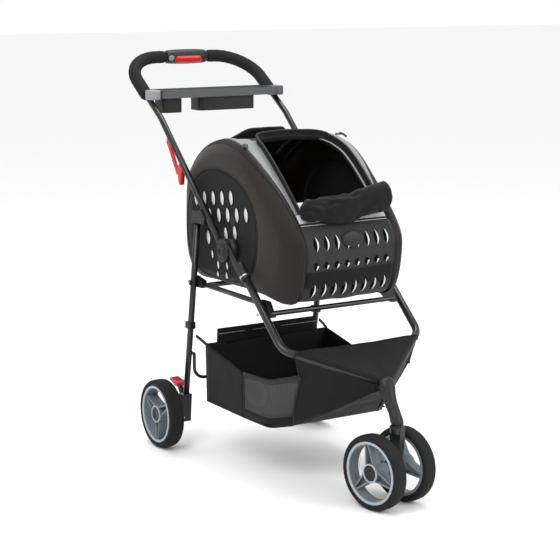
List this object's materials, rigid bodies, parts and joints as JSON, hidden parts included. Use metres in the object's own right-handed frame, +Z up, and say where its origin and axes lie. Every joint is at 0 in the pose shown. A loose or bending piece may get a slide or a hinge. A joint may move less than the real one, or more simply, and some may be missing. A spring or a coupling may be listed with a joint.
{
  "type": "pet stroller",
  "caption": "Folding three-wheel pet stroller with a lift-off soft carrier, under-seat basket, parent tray and foam U handle.",
  "frame": {"origin": "on the ground, in the middle of the footprint", "axes": "+Z up; the stroller faces -Y; its right side is -X"},
  "size_m": [0.513, 1.0946, 1.0192],
  "materials": {
    "frame_tube": "satin",
    "black_plastic": "matte",
    "foam": "matte",
    "grey_plastic": "satin",
    "red_plastic": "gloss",
    "rim_plastic": "satin",
    "tyre_foam": "matte",
    "axle_steel": "satin",
    "brown_fabric": "matte",
    "black_fabric": "matte",
    "grey_mesh": "matte"
  },
  "bodies": {
    "front_frame": {"front_leg_right": "frame_tube", "front_leg_left": "frame_tube", "hub_leg_half_right": "black_plastic", "hub_leg_half_left": "black_plastic", "seat_rail_right": "frame_tube", "seat_rail_left": "frame_tube", "rear_pivot_block_right": "black_plastic", "rear_pivot_block_left": "black_plastic", "seat_front_rail": "frame_tube", "seat_rear_rail": "frame_tube", "caster_housing": "black_plastic", "basket": "black_fabric"},
    "handle": {"handle_tube": "frame_tube", "foam_grip_right": "foam", "foam_grip_left": "foam", "hub_handle_half_right": "black_plastic", "hub_handle_half_left": "black_plastic", "trigger_housing": "black_plastic", "parent_tray": "grey_plastic", "tray_cup_small": "black_plastic", "tray_cup_long": "black_plastic", "side_lock_clip": "red_plastic", "side_lock_catch": "red_plastic"},
    "trigger": {"trigger_button": "red_plastic"},
    "side_lock": {"side_lock_lever": "red_plastic"},
    "rear_frame": {"rear_leg_right": "frame_tube", "rear_leg_left": "frame_tube", "rear_leg_saddle_right": "black_plastic", "rear_leg_saddle_left": "black_plastic", "wheel_bracket_right": "black_plastic", "wheel_bracket_left": "black_plastic", "rear_axle_right": "axle_steel", "rear_axle_left": "axle_steel", "rear_cross_bar": "frame_tube"},
    "caster": {"caster_fork": "black_plastic", "front_axle": "axle_steel"},
    "carrier": {"carrier_shell_right": "brown_fabric", "carrier_shell_left": "brown_fabric", "carrier_floor": "black_fabric", "carrier_front_panel": "black_fabric", "carrier_back_panel": "black_fabric", "carrier_top": "grey_mesh", "rolled_cover": "black_fabric", "rear_flap": "black_fabric", "floor_pad": "black_fabric"},
    "brake_right": {"brake_pedal_right": "red_plastic"},
    "rear_wheel_right": {"rear_wheel_right_tyre": "tyre_foam", "rear_wheel_right_rim": "rim_plastic", "rear_wheel_right_cap": "black_plastic"},
    "front_wheel_right": {"front_wheel_right_tyre": "tyre_foam", "front_wheel_right_rim": "rim_plastic", "front_wheel_right_cap": "black_plastic"},
    "brake_left": {"brake_pedal_left": "red_plastic"},
    "rear_wheel_left": {"rear_wheel_left_tyre": "tyre_foam", "rear_wheel_left_rim": "rim_plastic", "rear_wheel_left_cap": "black_plastic"},
    "front_wheel_left": {"front_wheel_left_tyre": "tyre_foam", "front_wheel_left_rim": "rim_plastic", "front_wheel_left_cap": "black_plastic"}
  },
  "joints": [
    {"name": "handle_fold", "type": "hinge", "parent": "front_frame", "child": "handle", "pos_m": [0, -0.03, 0.56], "axis": [1, 0, 0], "range_deg": [0, 155]},
    {"name": "rear_leg_fold", "type": "hinge", "parent": "front_frame", "child": "rear_frame", "pos_m": [0, 0.147, 0.452], "axis": [-1, 0, 0], "range_deg": [0, 60], "deforming": ["basket"]},
    {"name": "caster_swivel", "type": "hinge", "parent": "front_frame", "child": "caster", "pos_m": [0, -0.47, 0.19], "axis": [0, 0, 1], "continuous": true},
    {"name": "carrier_lift", "type": "slide", "parent": "front_frame", "child": "carrier", "axis": [0, 0, 1], "range_m": [0, 0.15]},
    {"name": "trigger_squeeze", "type": "slide", "parent": "handle", "child": "trigger", "axis": [0, 1, 0], "range_m": [0, 0.004], "stiffness_N_per_m": 600, "springref_m": -0.002},
    {"name": "side_lock_release", "type": "hinge", "parent": "handle", "child": "side_lock", "pos_m": [-0.19, 0.27873, 0.79775], "axis": [1, 0, 0], "range_deg": [0, 25], "stiffness_Nm_per_rad": 0.2, "springref_deg": -2.86},
    {"name": "rear_wheel_right_spin", "type": "hinge", "parent": "rear_frame", "child": "rear_wheel_right", "pos_m": [-0.235, 0.248, 0.09], "axis": [1, 0, 0], "continuous": true},
    {"name": "front_wheel_right_spin", "type": "hinge", "parent": "caster", "child": "front_wheel_right", "pos_m": [-0.00433, -0.44639, 0.09], "axis": [0.9836, 0.1805, 0], "continuous": true},
    {"name": "brake_pedal_right_press", "type": "hinge", "parent": "rear_frame", "child": "brake_right", "pos_m": [-0.169, 0.232, 0.1], "axis": [-1, 0, 0], "range_deg": [0, 18]},
    {"name": "rear_wheel_left_spin", "type": "hinge", "parent": "rear_frame", "child": "rear_wheel_left", "pos_m": [0.235, 0.248, 0.09], "axis": [1, 0, 0], "continuous": true},
    {"name": "front_wheel_left_spin", "type": "hinge", "parent": "caster", "child": "front_wheel_left", "pos_m": [-0.00433, -0.44639, 0.09], "axis": [0.9836, 0.1805, 0], "continuous": true},
    {"name": "brake_pedal_left_press", "type": "hinge", "parent": "rear_frame", "child": "brake_left", "pos_m": [0.169, 0.232, 0.1], "axis": [-1, 0, 0], "range_deg": [0, 18]}
  ],
  "couplings": [
    {"joint": "rear_leg_fold", "follows": "handle_fold", "ratio": 0.387}
  ]
}
